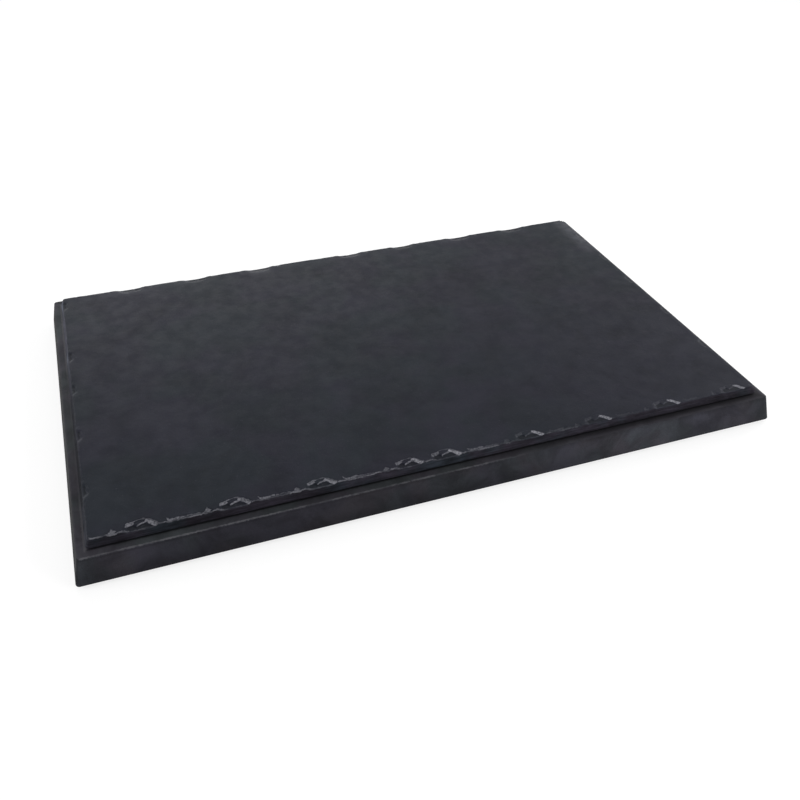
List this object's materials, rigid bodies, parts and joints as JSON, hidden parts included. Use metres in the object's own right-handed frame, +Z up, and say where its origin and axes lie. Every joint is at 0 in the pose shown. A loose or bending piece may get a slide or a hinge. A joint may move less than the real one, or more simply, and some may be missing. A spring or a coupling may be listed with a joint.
{
  "type": "serving board",
  "caption": "Rectangular two-tier serving board: a charcoal slate-look plate with chipped edges, bonded to a hollow moulded plinth on push-in feet.",
  "frame": {"origin": "on the table, below the middle of the board", "axes": "+X along the board's length to the right, +Y to the back, +Z up"},
  "size_m": [0.53, 0.325, 0.0295],
  "materials": {
    "slate": "matte riven slate, charcoal, paler where the edge is chipped",
    "plinth": "matte moulded, fine grain, charcoal",
    "adhesive": "cured silicone bead, grey, hidden",
    "foot": "soft silicone, black, non-slip"
  },
  "bodies": {
    "root": {"slate_plate": "slate", "plinth": "plinth", "adhesive_bead": "adhesive", "foot_front_left": "foot", "foot_front_right": "foot", "foot_back_left": "foot", "foot_back_right": "foot"}
  },
  "joints": []
}
